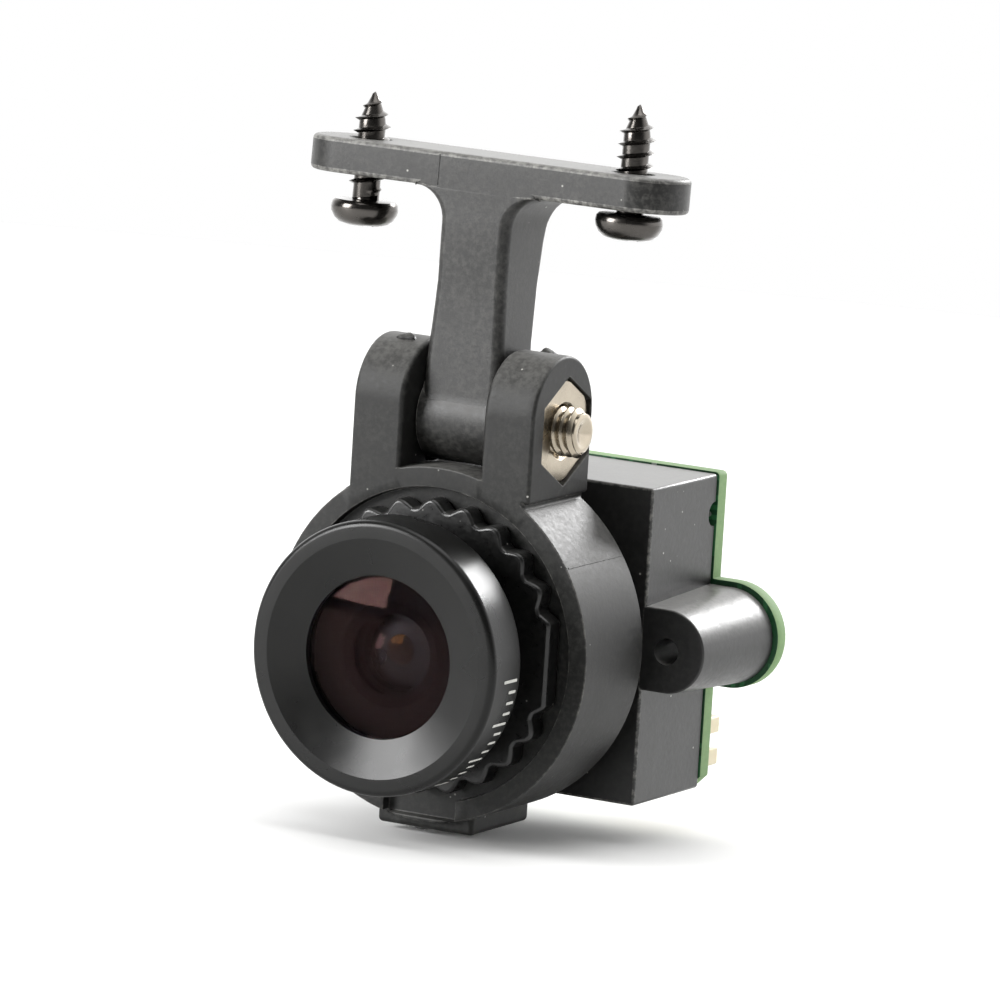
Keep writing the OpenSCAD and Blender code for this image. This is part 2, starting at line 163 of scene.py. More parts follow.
def pushed(name, outline, axis, start, end):
    """A flat outline pushed straight along an axis, as a mould core or a sheet is."""
    piece = drawn_line(name, [placed(axis, start, u, v) for u, v in outline])
    bpy.ops.mesh.edge_face_add()
    move = placed(axis, end - start, 0, 0)
    bpy.ops.mesh.extrude_region_move(TRANSFORM_OT_translate={"value": move})
    return close_up(piece)


def lofted(name, rings):
    """A solid whose outline changes from ring to ring, each with the same number of points."""
    piece = drawn_line(name, rings[0])
    bpy.ops.mesh.edge_face_add()
    for before, after in zip(rings, rings[1:]):
        bpy.ops.mesh.extrude_region_move(TRANSFORM_OT_translate={"value": (0, 0, 0)})
        bpy.ops.object.mode_set(mode="OBJECT")
        for vertex in [v for v in piece.data.vertices if v.select]:
            nearest = min(range(len(before)), key=lambda i: (vertex.co - Vector(before[i])).length)
            vertex.co = after[nearest]
        bpy.ops.object.mode_set(mode="EDIT")
    return close_up(piece)


def rod(radius, axis, start, end, place=(0, 0), vertices=96):
    """A round bar along an axis. place is its centre on the two other axes."""
    where = placed(axis, (start + end) / 2, *place)
    turn = {"X": (0, math.pi / 2, 0), "Y": (math.pi / 2, 0, 0), "Z": (0, 0, 0)}[axis]
    bpy.ops.object.select_all(action="DESELECT")
    bpy.ops.mesh.primitive_cylinder_add(
        vertices=vertices, radius=radius, depth=end - start, location=where, rotation=turn)
    bpy.ops.object.transform_apply(location=True, rotation=True, scale=True)
    return bpy.context.object


def block(low, high):
    """A square block between two corners."""
    low, high = Vector(low), Vector(high)
    bpy.ops.object.select_all(action="DESELECT")
    bpy.ops.mesh.primitive_cube_add(size=1, location=(low + high) / 2, scale=high - low)
    bpy.ops.object.transform_apply(location=True, rotation=True, scale=True)
    return bpy.context.object


def combine(piece, tool, operation="DIFFERENCE"):
    """Cuts a tool's shape from a piece, or joins it on with UNION. The tool is used up."""
    change = piece.modifiers.new("combine", "BOOLEAN")
    change.operation, change.object, change.solver = operation, tool, "EXACT"
    apply_change(piece, change)
    bpy.data.objects.remove(tool)
    return piece


def soften(piece, width, segments=3, angle=30, finish=-1):
    """Rounds the edges that are sharper than an angle. finish is the round edges' material slot."""
    change = piece.modifiers.new("edges", "BEVEL")
    change.width, change.segments = width, segments
    change.limit_method, change.angle_limit = "ANGLE", math.radians(angle)
    change.use_clamp_overlap = False
    change.material = finish
    change.miter_outer = "MITER_ARC"
    apply_change(piece, change)
    return piece


def shifted(x, y, z):
    """A step along the axes, in millimetres."""
    return Matrix.Translation((x, y, z))


def turned(degrees, axis):
    """A turn about an axis through the origin."""
    return Matrix.Rotation(math.radians(degrees), 4, axis)


def moved(piece, *steps):
    """A piece after its mesh is moved by each step in turn."""
    for step in steps:
        piece.data.transform(step)
    return piece


def joined(pieces, name):
    """Several solids as one piece."""
    bpy.ops.object.select_all(action="DESELECT")
    for piece in pieces:
        piece.select_set(True)
    bpy.context.view_layer.objects.active = pieces[0]
    bpy.ops.object.join()
    pieces[0].name = name
    return pieces[0]


def finished(piece, *materials):
    """Gives a piece its materials, in the order of its slots."""
    for material in materials:
        piece.data.materials.append(material)
    return piece


def fit(piece, material, body, slot, *nodes, tilted=True, smooth=35):
    """Sets a finished piece into the frame, on its body, in place of its CAD nodes."""
    piece.scale = (MM, MM, MM)
    piece.rotation_euler = (stored_tilt if tilted else 0, 0, 0)
    piece.location = pivot
    bpy.ops.object.select_all(action="DESELECT")
    piece.select_set(True)
    bpy.context.view_layer.objects.active = piece
    bpy.ops.object.transform_apply(location=True, rotation=True, scale=True)
    bpy.ops.object.shade_smooth_by_angle(angle=math.radians(smooth))
    even = piece.modifiers.new("even", "WEIGHTED_NORMAL")
    even.keep_sharp = True
    apply_change(piece, even)
    if material:
        finished(piece, material)
    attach(piece, body)
    if nodes:
        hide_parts(*nodes)
    return piece


def ramp(value, start, length):
    """Rises from 0 to 1 as a value goes from a start over a length."""
    return max(min((value - start) / length, 1), 0)


def stem_ring(z):
    """The stem's outline at one height above the pivot. The stem deepens towards the bar, and its
    sides run into the fillets."""
    half = stem_foot_half + (stem_half - stem_foot_half) * ramp(z, 3, 5)
    level = ramp(z, bar_bottom - fillet_r, fillet_r)
    half += fillet_r * (1 - math.sqrt(1 - level * level))
    front = stem_front - 0.2 * ramp(z, 7, 4)
    back = stem_back + 0.6 * ramp(z, 4.7, 5.9) + 0.35 * ramp(z, 10.6, 1.6)
    return [(x, y, z) for x, y in rounded(-half, front, half, back, stem_corner_r)]


def middle_x(node):
    """Where the middle of a CAD node's box lies across the mount."""
    low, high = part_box(node)
    return (low.x + high.x) / 2 / MM


def srgb(code):
    """Linear colour of an sRGB hex value."""
    parts = [int(code[i:i + 2], 16) / 255 for i in (1, 3, 5)]
    return [c / 12.92 if c <= 0.04045 else ((c + 0.055) / 1.055) ** 2.4 for c in parts] + [1]


def add_node(material, kind, inputs=None, **settings):
    """Adds a node with its settings, and links or sets its inputs."""
    tree = material.node_tree
    node = tree.nodes.new(kind)
    for name, value in settings.items():
        setattr(node, name, value)
    for name, value in (inputs or {}).items():
        if isinstance(value, bpy.types.NodeSocket):
            tree.links.new(value, node.inputs[name])
        else:
            node.inputs[name].default_value = value
    return node


def surface(name, **settings):
    """A new material, its shader with these settings, and its place coordinates."""
    material = bpy.data.materials.new(name)
    material.use_nodes = True
    shader = material.node_tree.nodes["Principled BSDF"]
    for key, value in settings.items():
        shader.inputs[key.replace("_", " ").title().replace("Ior", "IOR")].default_value = value
    place = add_node(material, "ShaderNodeTexCoord").outputs["Object"]
    return material, shader, place


def satin_black(name, colour, dusty, rough, dust_and_top_light, shine=0.5):
    """A satin black skin, as on moulded glass-filled nylon: mottled in its grain, and paler where it is
    dusty.
    It is paler still on what faces up: dust that settles there, and a painted top light."""
    material, shader, place = surface(name, ior=1.5, specular_ior_level=shine)
    links = material.node_tree.links
    fibre = add_node(material, "ShaderNodeTexNoise", {
        "Vector": place, "Scale": 1 / (0.34 * MM), "Detail": 4.0, "Roughness": 0.65})
    smears = add_node(material, "ShaderNodeTexNoise", {
        "Vector": place, "Scale": 1 / (2.6 * MM), "Detail": 5.0, "Roughness": 0.62})
    specks = add_node(material, "ShaderNodeTexVoronoi", {"Vector": place, "Scale": 1 / (0.9 * MM)})
    speck = add_node(material, "ShaderNodeMapRange", {
        "Value": specks.outputs["Distance"], "From Min": 0.09, "From Max": 0.04})
    chosen = add_node(material, "ShaderNodeMath", {
        0: specks.outputs["Color"], 1: 0.7}, operation="GREATER_THAN")
    speck = add_node(material, "ShaderNodeMath", {
        0: speck.outputs["Result"], 1: chosen.outputs["Value"]}, operation="MULTIPLY")
    mottle = add_node(material, "ShaderNodeMapRange", {
        "Value": fibre.outputs["Fac"], "From Min": 0.42, "From Max": 0.66})
    dust = add_node(material, "ShaderNodeMapRange", {
        "Value": smears.outputs["Fac"], "From Min": 0.35, "From Max": 0.7, "To Min": 0.35})
    dust = add_node(material, "ShaderNodeMath", {
        0: dust.outputs["Result"], 1: mottle.outputs["Result"]}, operation="MULTIPLY")
    base = add_node(material, "ShaderNodeMix", {
        "Factor": dust.outputs["Value"], 6: srgb(colour), 7: srgb(dusty)}, data_type="RGBA")
    facing = add_node(material, "ShaderNodeSeparateXYZ", {
        "Vector": add_node(material, "ShaderNodeTexCoord").outputs["Normal"]})
    # Paler on faces that point up: settled dust, and a painted top light
    upward = add_node(material, "ShaderNodeMapRange", {
        "Value": facing.outputs["Z"], "From Min": 0.25, "From Max": 0.95, "To Max": dust_and_top_light})
    patchy = add_node(material, "ShaderNodeMapRange", {
        "Value": fibre.outputs["Fac"], "From Min": 0.3, "From Max": 0.6, "To Min": 0.45})
    dust_and_top_light_mask = add_node(material, "ShaderNodeMath", {
        0: upward.outputs["Result"], 1: patchy.outputs["Result"]}, operation="MULTIPLY")
    base = add_node(material, "ShaderNodeMix", {
        "Factor": dust_and_top_light_mask.outputs["Value"], 6: base.outputs[2], 7: srgb("#7c7b78")}, data_type="RGBA")
    base = add_node(material, "ShaderNodeMix", {
        "Factor": speck.outputs["Value"], 6: base.outputs[2], 7: srgb("#a5a49f")}, data_type="RGBA")
    links.new(base.outputs[2], shader.inputs["Base Color"])
    roughness = add_node(material, "ShaderNodeMapRange", {
        "Value": fibre.outputs["Fac"], "From Min": 0.3, "From Max": 0.7,
        "To Min": rough, "To Max": rough + 0.14})
    links.new(roughness.outputs["Result"], shader.inputs["Roughness"])
    low_bump = add_node(material, "ShaderNodeBump", {
        "Height": smears.outputs["Fac"], "Strength": 0.25, "Distance": 0.08 * MM})
    bump = add_node(material, "ShaderNodeBump", {
        "Height": fibre.outputs["Fac"], "Strength": 0.5, "Distance": 0.016 * MM,
        "Normal": low_bump.outputs["Normal"]})
    links.new(bump.outputs["Normal"], shader.inputs["Normal"])
    return material


bracket_nylon = satin_black("moulded_nylon_bracket", "#1a1a19", "#3e3d3b", 0.36, 0.8, 0.38)
bracket_edge = satin_black("rubbed_nylon_bracket", "#3a3937", "#8b8a85", 0.42, 0.6)

bar_outline = arc(bar_half - bar_end_r, 0, bar_end_r, -90, 90, 24)
bar_outline += arc(bar_end_r - bar_half, 0, bar_end_r, 90, 270, 24)
bracket = pushed("bracket", bar_outline, "Z", bar_bottom, bar_top)
finished(bracket, bracket_nylon, bracket_edge)
soften(bracket, 0.28, 3, finish=1)
stem_heights = [bar_top - 1.2]
stem_heights += [bar_bottom - fillet_r * (1 - math.sin(math.radians(t))) for t in range(90, -1, -10)]
stem_heights += [10.6, 9.5, 8, 6.5, 4.7, 3, 1.5, 0]
stem = lofted("stem", [stem_ring(z) for z in stem_heights])
combine(bracket, stem, "UNION")
combine(bracket, rod(boss_r, "X", -boss_half, boss_half), "UNION")
combine(bracket, rod(pivot_hole_r, "X", -5, 5, vertices=64))
for name in ("left_mount_screw", "right_mount_screw"):
    combine(bracket, rod(screw_hole_r, "Z", 10, 20, (middle_x(name), 0), 48))
soften(bracket, 0.09, 2, 40, finish=1)
# Witness line of the mould's side slide, across the bar's front above the stem
witness = block((-2.66, -bar_end_r - 0.03, bar_bottom + 0.1), (-2.58, -bar_end_r + 0.2, bar_top - 0.2))
joined([bracket, finished(witness, bracket_nylon)], "bracket")
fit(bracket, None, "bracket", "black_plastic", "mount_bracket", tilted=False)

# ---------------------------------------------------------- mount screws
# Two pan-head tapping screws in steel with bright black nickel plate. They have a coarse rolled
# thread with a gimlet point and a cross recess, and stand in the bar not yet driven home.
core_r, crest_r, tap_pitch, tap_turns = 0.8, 1.1, 0.75, 9
tap_l, point_l = 6.4, 1.7
pan_head_t, thread_sunk = 1.5, 0.3


def threaded(name, line, pitch, turns, steps=40):
    """A rolled thread round Z: an open line, one pitch long, carried up a helix."""
    thread = drawn_line(name, [(r, 0, z) for r, z in line])
    bpy.ops.mesh.select_all(action="DESELECT")
    bpy.ops.object.mode_set(mode="OBJECT")
    closing = {0, len(line) - 1}
    for edge in thread.data.edges:
        edge.select = set(edge.vertices) == closing
    bpy.ops.object.mode_set(mode="EDIT")
    bpy.ops.mesh.delete(type="EDGE")
    bpy.ops.object.mode_set(mode="OBJECT")
    helix = thread.modifiers.new("helix", "SCREW")
    helix.axis, helix.angle, helix.screw_offset = "Z", 2 * math.pi, pitch
    helix.iterations, helix.steps, helix.render_steps = turns, steps, steps
    helix.use_merge_vertices, helix.merge_threshold = True, WELD
    apply_change(thread, helix)
    return thread


def reach(vertex, radius, end):
    """Sets how far a thread's point is from its axis, and ends it at most at a height."""
    scale = radius / vertex.co.xy.length
    vertex.co = (vertex.co.x * scale, vertex.co.y * scale, min(vertex.co.z, end))


def shut(thread):
    """Closes a thread's two open ends and turns its faces outwards."""
    bpy.ops.object.mode_set(mode="EDIT")
    bpy.ops.mesh.select_all(action="SELECT")
    bpy.ops.mesh.remove_doubles(threshold=WELD)
    bpy.ops.mesh.select_all(action="SELECT")
    bpy.ops.mesh.fill_holes(sides=0)
    return close_up(thread)


def spun(name, profile, axis="Y", centre=(0, 0), steps=96):
    """A turned solid: a closed profile of (radius, place along the axis) spun round the axis."""
    u, v = centre
    piece = drawn_line(name, [placed(axis, along, u, v + r) for r, along in profile])
    middle, way = placed(axis, 0, u, v), placed(axis, 1, 0, 0)
    bpy.ops.mesh.spin(steps=steps, angle=2 * math.pi, center=middle, axis=way)
    return close_up(piece)


def two_tone(name, light, dark, size, detail=2.0, **settings):
    """A material that wanders between two tones over a size in millimetres. It comes with its
    shader and its pattern."""
    material, shader, place = surface(name, **settings)
    pattern = add_node(material, "ShaderNodeTexNoise", {
        "Vector": place, "Scale": 1 / (size * MM), "Detail": detail}).outputs["Fac"]
    tone = add_node(material, "ShaderNodeMix", {
        "Factor": pattern, 6: srgb(light), 7: srgb(dark)}, data_type="RGBA")
    material.node_tree.links.new(tone.outputs[2], shader.inputs["Base Color"])
    return material, shader, pattern


def bright_plate(name, colour, rough, ripple):
    """Electroplate over drawn or rolled metal: a clear shine with faint drawing lines, small
    stains and a slightly uneven skin."""
    material, shader, place = surface(name, metallic=1.0)
    links = material.node_tree.links
    stains = add_node(material, "ShaderNodeTexNoise", {
        "Vector": place, "Scale": 1 / (1.4 * MM), "Detail": 3.0})
    fine = add_node(material, "ShaderNodeTexNoise", {"Vector": place, "Scale": 1 / (0.15 * MM)})
    darker = [channel * 0.62 for channel in srgb(colour)[:3]] + [1]
    base = add_node(material, "ShaderNodeMix", {
        "Factor": stains.outputs["Fac"], 6: srgb(colour), 7: darker}, data_type="RGBA")
    links.new(base.outputs[2], shader.inputs["Base Color"])
    roughness = add_node(material, "ShaderNodeMapRange", {
        "Value": stains.outputs["Fac"], "From Min": 0.3, "From Max": 0.7,
        "To Min": rough, "To Max": rough + 0.14})
    links.new(roughness.outputs["Result"], shader.inputs["Roughness"])
    bump = add_node(material, "ShaderNodeBump", {
        "Height": fine.outputs["Fac"], "Strength": ripple, "Distance": 0.01 * MM})
    links.new(bump.outputs["Normal"], shader.inputs["Normal"])
    return material


black_nickel = bright_plate("black_nickel_plate", "#5b5855", 0.16, 0.25)

for name in ("left_mount_screw", "right_mount_screw"):
    head = spun("head", [
        (0, -pan_head_t), (1.0, -pan_head_t), (1.45, -1.37), (1.75, -1.12), (1.94, -0.78), (2.0, -0.45),
        (1.95, -0.18), (1.8, -0.03), (1.6, 0), (0.7, 0.02), (0.7, 0.3), (0, 0.3)], "Z", steps=64)
    for angle in (45, 135):
        slot = block((-1.05, -0.24, -pan_head_t - 1), (1.05, 0.24, -pan_head_t + 0.75))
        combine(head, moved(slot, turned(angle, "Z")))
    soften(head, 0.06, 2, 40)
    thread = threaded("thread", [
        (core_r, -0.1), (core_r, 0), (crest_r - 0.03, 0.12), (crest_r, 0.14), (crest_r - 0.03, 0.16),
        (core_r, 0.28), (core_r, tap_pitch - 0.1)], tap_pitch, tap_turns)
    for vertex in thread.data.vertices:
        vertex.co.z -= thread_sunk
        crest = (vertex.co.xy.length - core_r) * ramp(vertex.co.z, 0.5, 0.5)
        point = (1 - ramp(vertex.co.z, tap_l - point_l, point_l)) ** 0.75
        reach(vertex, (core_r + crest) * point, tap_l)
    shut(thread)
    screw = joined([head, thread], name.replace("mount", "tapping"))
    seat = bar_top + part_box(name)[0].z / MM + pan_head_t
    moved(screw, shifted(middle_x(name), 0, seat))
    fit(screw, black_nickel, "bracket", "black_nickel", name, tilted=False)

# ------------------------------------------------------------------ yoke
# A black nylon moulding: a clamp ring with a stepped bore, two round-topped ears that straddle
# the bracket's boss, a hexagon pocket for the nut in the right ear, and a small foot below.
ring_r, ring_front, ring_back = 10.5, -4.1, 2.8
lip_front, lip_back, lip_r = -3.4, -2.2, 7.7
seat_r, turret_bore_r = 9.3, 9.26
ear_inner, ear_outer = 2.7, 6.05
ear_mid, ear_round_r, ear_round_z, ear_front = -0.5, 3.6, 0.9, -4.1
ear_bottom, pad_bottom, pad_step = -7.2, -3.95, 0.3
foot_half, foot_bottom = 3.2, lens_z - 11.1
nut_across, nut_t, nut_face = 5.5, 2.3, 5.85
bolt_hole_r, sink_r = 1.49, 2.8

yoke_nylon = satin_black("moulded_nylon_yoke", "#141413", "#2e2e2c", 0.46, 0.5, 0.32)
yoke_edge = satin_black("rubbed_nylon_yoke", "#232322", "#5b5a56", 0.46, 0.5, 0.4)


def hexagon(across_flats):
    """A hexagon's outline with one corner up."""
    return [(x, y) for y, x in arc(0, 0, across_flats / math.sqrt(3), 0, 300, 5)]


yoke = spun("yoke", [
    (seat_r, ring_front), (ring_r, ring_front), (ring_r, ring_back), (turret_bore_r, ring_back),
    (turret_bore_r, lip_back), (lip_r, lip_back), (lip_r, lip_front), (seat_r, lip_front)],
    centre=on_lens, steps=128)
ear_back = ear_mid + ear_round_r
ear_top = arc(ear_mid, ear_round_z, ear_round_r, 0, 180, 28)
ear_side = ear_top + [(ear_front, ear_bottom), (ear_back, ear_bottom)]
pad_side = ear_top + [(ear_front, pad_bottom), (ear_back, pad_bottom)]
left_ear = soften(pushed("left_ear", ear_side, "X", -ear_outer, -ear_inner), 0.3, 4)
right_ear = soften(pushed("right_ear", ear_side, "X", ear_inner, ear_outer - pad_step), 0.3, 4)
pad = soften(pushed("pad", pad_side, "X", ear_inner + 0.4, ear_outer), 0.22, 4)
combine(right_ear, pad, "UNION")
for ear in (left_ear, right_ear):
    combine(ear, rod(turret_bore_r + 0.6, "Y", -8, 8, on_lens, 128))
    combine(yoke, ear, "UNION")
foot = block((-foot_half, ring_front + 0.8, foot_bottom), (foot_half, ring_back + 0.8, lens_z - 9.6))
combine(yoke, soften(foot, 0.3, 4), "UNION")
combine(yoke, block((-2.4, ring_front - 1, lens_z - 10.25), (2.4, lip_front, lens_z - 8)))
combine(yoke, rod(boss_r + 0.25, "X", -ear_inner, ear_inner))
combine(yoke, rod(bolt_hole_r, "X", -20, 20, vertices=64))
sink_start, sink_end = 0.2 - ear_outer, 1.52 - ear_outer
combine(yoke, spun("countersink", [
    (0, -ear_outer - 1), (sink_r, -ear_outer - 1), (sink_r, sink_start),
    (sink_r - sink_end + sink_start, sink_end), (0, sink_end)], "X"))
pocket = pushed("pocket", hexagon(nut_across + 0.1), "X", nut_face - nut_t - 0.05, 9)
combine(yoke, pocket)
finished(yoke, yoke_nylon, yoke_edge)
soften(yoke, 0.08, 2, finish=1)


def gate_scar(place, size, seed):
    """The torn stub that is left where a moulding was cut from its runner."""
    bpy.ops.object.select_all(action="DESELECT")
    bpy.ops.mesh.primitive_ico_sphere_add(subdivisions=3, radius=1, location=(0, 0, 0))
    stub = bpy.context.object
    for vertex in stub.data.vertices:
        x, y, z = vertex.co
        torn = 0.16 * math.sin(4 * x + 3 * y + seed) + 0.1 * math.sin(6 * z - 5 * y + 2 * seed)
        vertex.co = [axis * (1 + torn) * side for axis, side in zip((x, y, z), size)]
    return finished(moved(stub, shifted(*place)), yoke_nylon)


scars = [
    gate_scar((-4.2, -1.3, ear_round_z + ear_round_r - 0.2), (0.7, 0.42, 0.36), 0.4),
    gate_scar((4.3, 0.3, ear_round_z + ear_round_r - 0.16), (0.5, 0.42, 0.3), 2.1),
    gate_scar((-0.4, -2.6, foot_bottom + 0.06), (0.8, 0.5, 0.2), 3.3),
]
# Mould lines along the ring's outside
for angle in (33, 147):
    ridge = block((ring_r - 0.3, ring_front + 0.2, -0.04), (ring_r + 0.035, ring_back - 0.2, 0.04))
    moved(ridge, turned(-angle, "Y"), shifted(0, 0, lens_z))
    scars.append(finished(ridge, yoke_nylon))
joined([yoke] + scars, "yoke")
fit(yoke, None, "yoke", "black_plastic", "tilt_yoke")

# ------------------------------------------------------- pivot bolt and nut
# An M3 machine screw, its countersunk head flush with the left ear, and a full nut sunk in the
# right ear. Both are nickel-plated steel, and the thread stands out past the nut.
bolt_r, bolt_root_r, bolt_pitch, bolt_turns = 1.47, 1.22, 0.5, 8
bolt_start, bolt_end = -ear_outer, 7.2
thread_start = bolt_end - (bolt_turns + 1) * bolt_pitch
head_r, head_rim = 2.75, bolt_start + 0.15
warm_nickel = bright_plate("warm_nickel_plate", "#b3a998", 0.17, 0.08)

bolt_thread = threaded("bolt_thread", [
    (bolt_root_r, 0), (bolt_r - 0.02, 0.17), (bolt_r, 0.2), (bolt_r, 0.26), (bolt_r - 0.02, 0.29),
    (bolt_root_r, 0.46), (bolt_root_r, bolt_pitch)], bolt_pitch, bolt_turns, 48)
for vertex in bolt_thread.data.vertices:
    past = max(vertex.co.z + thread_start - (bolt_end - 0.22), 0)
    reach(vertex, min(vertex.co.xy.length, bolt_r - past), bolt_end - thread_start)
shut(bolt_thread)
moved(bolt_thread, turned(90, "Y"), shifted(thread_start, 0, 0))
shank = spun("shank", [
    (0, bolt_start), (head_r - 0.05, bolt_start), (head_r, bolt_start + 0.05), (head_r, head_rim),
    (bolt_r, head_rim + head_r - bolt_r), (bolt_r, thread_start + 0.3),
    (bolt_root_r - 0.02, thread_start + 0.5), (bolt_root_r - 0.02, bolt_end - 0.05),
    (1.0, bolt_end), (0.8, bolt_end), (0.45, bolt_end - 0.22), (0, bolt_end - 0.3)], "X", steps=64)
for angle in (0, 90):
    slot = block((bolt_start - 1, -1.5, -0.25), (bolt_start + 1, 1.5, 0.25))
    combine(shank, moved(slot, turned(angle, "X")))
soften(shank, 0.06, 2, 40)
bolt = joined([shank, bolt_thread], "pivot_bolt_m3")
fit(bolt, warm_nickel, "yoke", "nickel_plate", "pivot_bolt")

nut_inside = nut_face - nut_t
nut = pushed("pivot_nut_m3", hexagon(nut_across), "X", nut_inside, nut_face)
chamfers = spun("chamfers", [
    (0, nut_inside - 0.01), (2.9, nut_inside - 0.01), (3.4, nut_inside + 0.28),
    (3.4, nut_face - 0.28), (2.9, nut_face + 0.01), (0, nut_face + 0.01)], "X")
combine(nut, chamfers, "INTERSECT")
bore = spun("bore", [
    (0, nut_inside - 1), (1.9, nut_inside - 0.2), (bolt_hole_r, nut_inside + 0.25),
    (bolt_hole_r, nut_face - 0.25), (1.9, nut_face + 0.2), (0, nut_face + 1)], "X", steps=64)
combine(nut, bore)
soften(nut, 0.05, 2)
fit(nut, warm_nickel, "yoke", "nickel_plate", "pivot_nut")

# --------------------------------------------------------- camera housing
# The lens holder: a square box moulded in black nylon, a round turret that the yoke's ring
# clamps, a bore for the lens, and a drilled lug on each side. The board closes its back.
box_half, box_front, box_back, wall = 9.5, 4.8, 12.9, 1.2
turret_r, turret_front = 9.2, -2.15
spigot_r, spigot_front, lens_bore_r = 7.6, -3.3, 6.06
lug_x, lug_front_r, lug_back_r, lug_hole_r = 11.0, 2.5, 2.9, 0.8
corner = box_half - 2

housing_nylon = satin_black("moulded_nylon_housing", "#1b1b1b", "#282827", 0.32, 0.9, 0.5)
housing_edge = satin_black("rubbed_nylon_housing", "#2c2c2b", "#85847f", 0.34, 0.6)

housing = pushed("housing", rounded(
    -box_half, lens_z - box_half, box_half, lens_z + box_half, 0.2), "Y", box_front, box_back)
finished(housing, housing_nylon, housing_edge)
soften(housing, 0.16, 3, 20, finish=1)
for side in (-1, 1):
    lug = lofted("lug", [[
        (side * x, y, z) for x, z in
        arc(lug_x, lens_z, r, -90, 90, 28) + [(box_half - 0.8, r + lens_z), (box_half - 0.8, -r + lens_z)]]
        for y, r in ((box_front + 0.01, lug_front_r), (box_back - 0.02, lug_back_r))])
    soften(lug, 0.12, 3, 50)
    combine(lug, rod(lug_hole_r, "Y", 0, 20, (side * lug_x, lens_z), 48))
    combine(housing, lug, "UNION")
turret = spun("turret", [
    (0, spigot_front), (spigot_r, spigot_front), (spigot_r, turret_front), (turret_r, turret_front),
    (turret_r, box_front + 0.3), (0, box_front + 0.3)], centre=on_lens, steps=128)
soften(turret, 0.12, 3, 60)
combine(housing, turret, "UNION")
cavity_half = box_half - wall
cavity = block(
    (-cavity_half, box_front + 1.5, lens_z - cavity_half), (cavity_half, box_back + 1, lens_z + cavity_half))
combine(housing, cavity)
combine(housing, rod(lens_bore_r, "Y", -6, 9, on_lens))
# A round notch in each side, next to the board
for edge in (-box_half, box_half):
    combine(housing, rod(0.75, "X", edge - 1.5, edge + 1.5, (box_back - 0.15, lens_z + 7.1), 32))
fit(housing, None, "camera", "black_plastic", "camera_housing")

# ------------------------------------------------------------ filter and sensor
# The infrared filter, the ceramic sensor package and its cover glass sit inside the housing,
# between the lens and the board.


def thin_glass(name, colour):
    """A cut flat of coated glass: clear, with a faint colour in its reflection."""
    return two_tone(
        name, "#e9f2f4", "#cfe3e6", 0.5, roughness=0.02, ior=1.52, transmission_weight=1.0,
        specular_tint=srgb(colour))[0]


def mottled(name, light, dark, size, **settings):
    """A fired, moulded or pressed skin whose colour varies a little from grain to grain."""
    material, shader, grain = two_tone(name, light, dark, size, 4.0, **settings)
    bump = add_node(material, "ShaderNodeBump", {
        "Height": grain, "Strength": 0.25, "Distance": 0.01 * MM})
    material.node_tree.links.new(bump.outputs["Normal"], shader.inputs["Normal"])
    return material


def dressed(name, *materials):
    """Gives a CAD node its finish."""
    node = frame["nodes"][name]
    node.data.materials.clear()
    finished(node, *materials)


filter_glass = thin_glass("coated_filter_glass", "#7fb6d8")
ceramic = mottled("sensor_ceramic", "#4a4540", "#35312d", 0.2, roughness=0.6)
dressed("ir_cut_filter", filter_glass)
dressed("sensor_cover_glass", filter_glass)
dressed("image_sensor", ceramic)

# ------------------------------------------------------------ circuit board
# A fibreglass board with green solder mask on both faces, pale at its sawn edge. Two round ears
# lie behind the housing's lugs. Its back carries the processor, a regulator, a crystal and the
# small chip parts, and two screws hold it in the housing's corners.
board_t, board_half, board_ear_r, board_hole_r = 1.0, 9.6, 3.2, 1.1
board_back = box_back + board_t


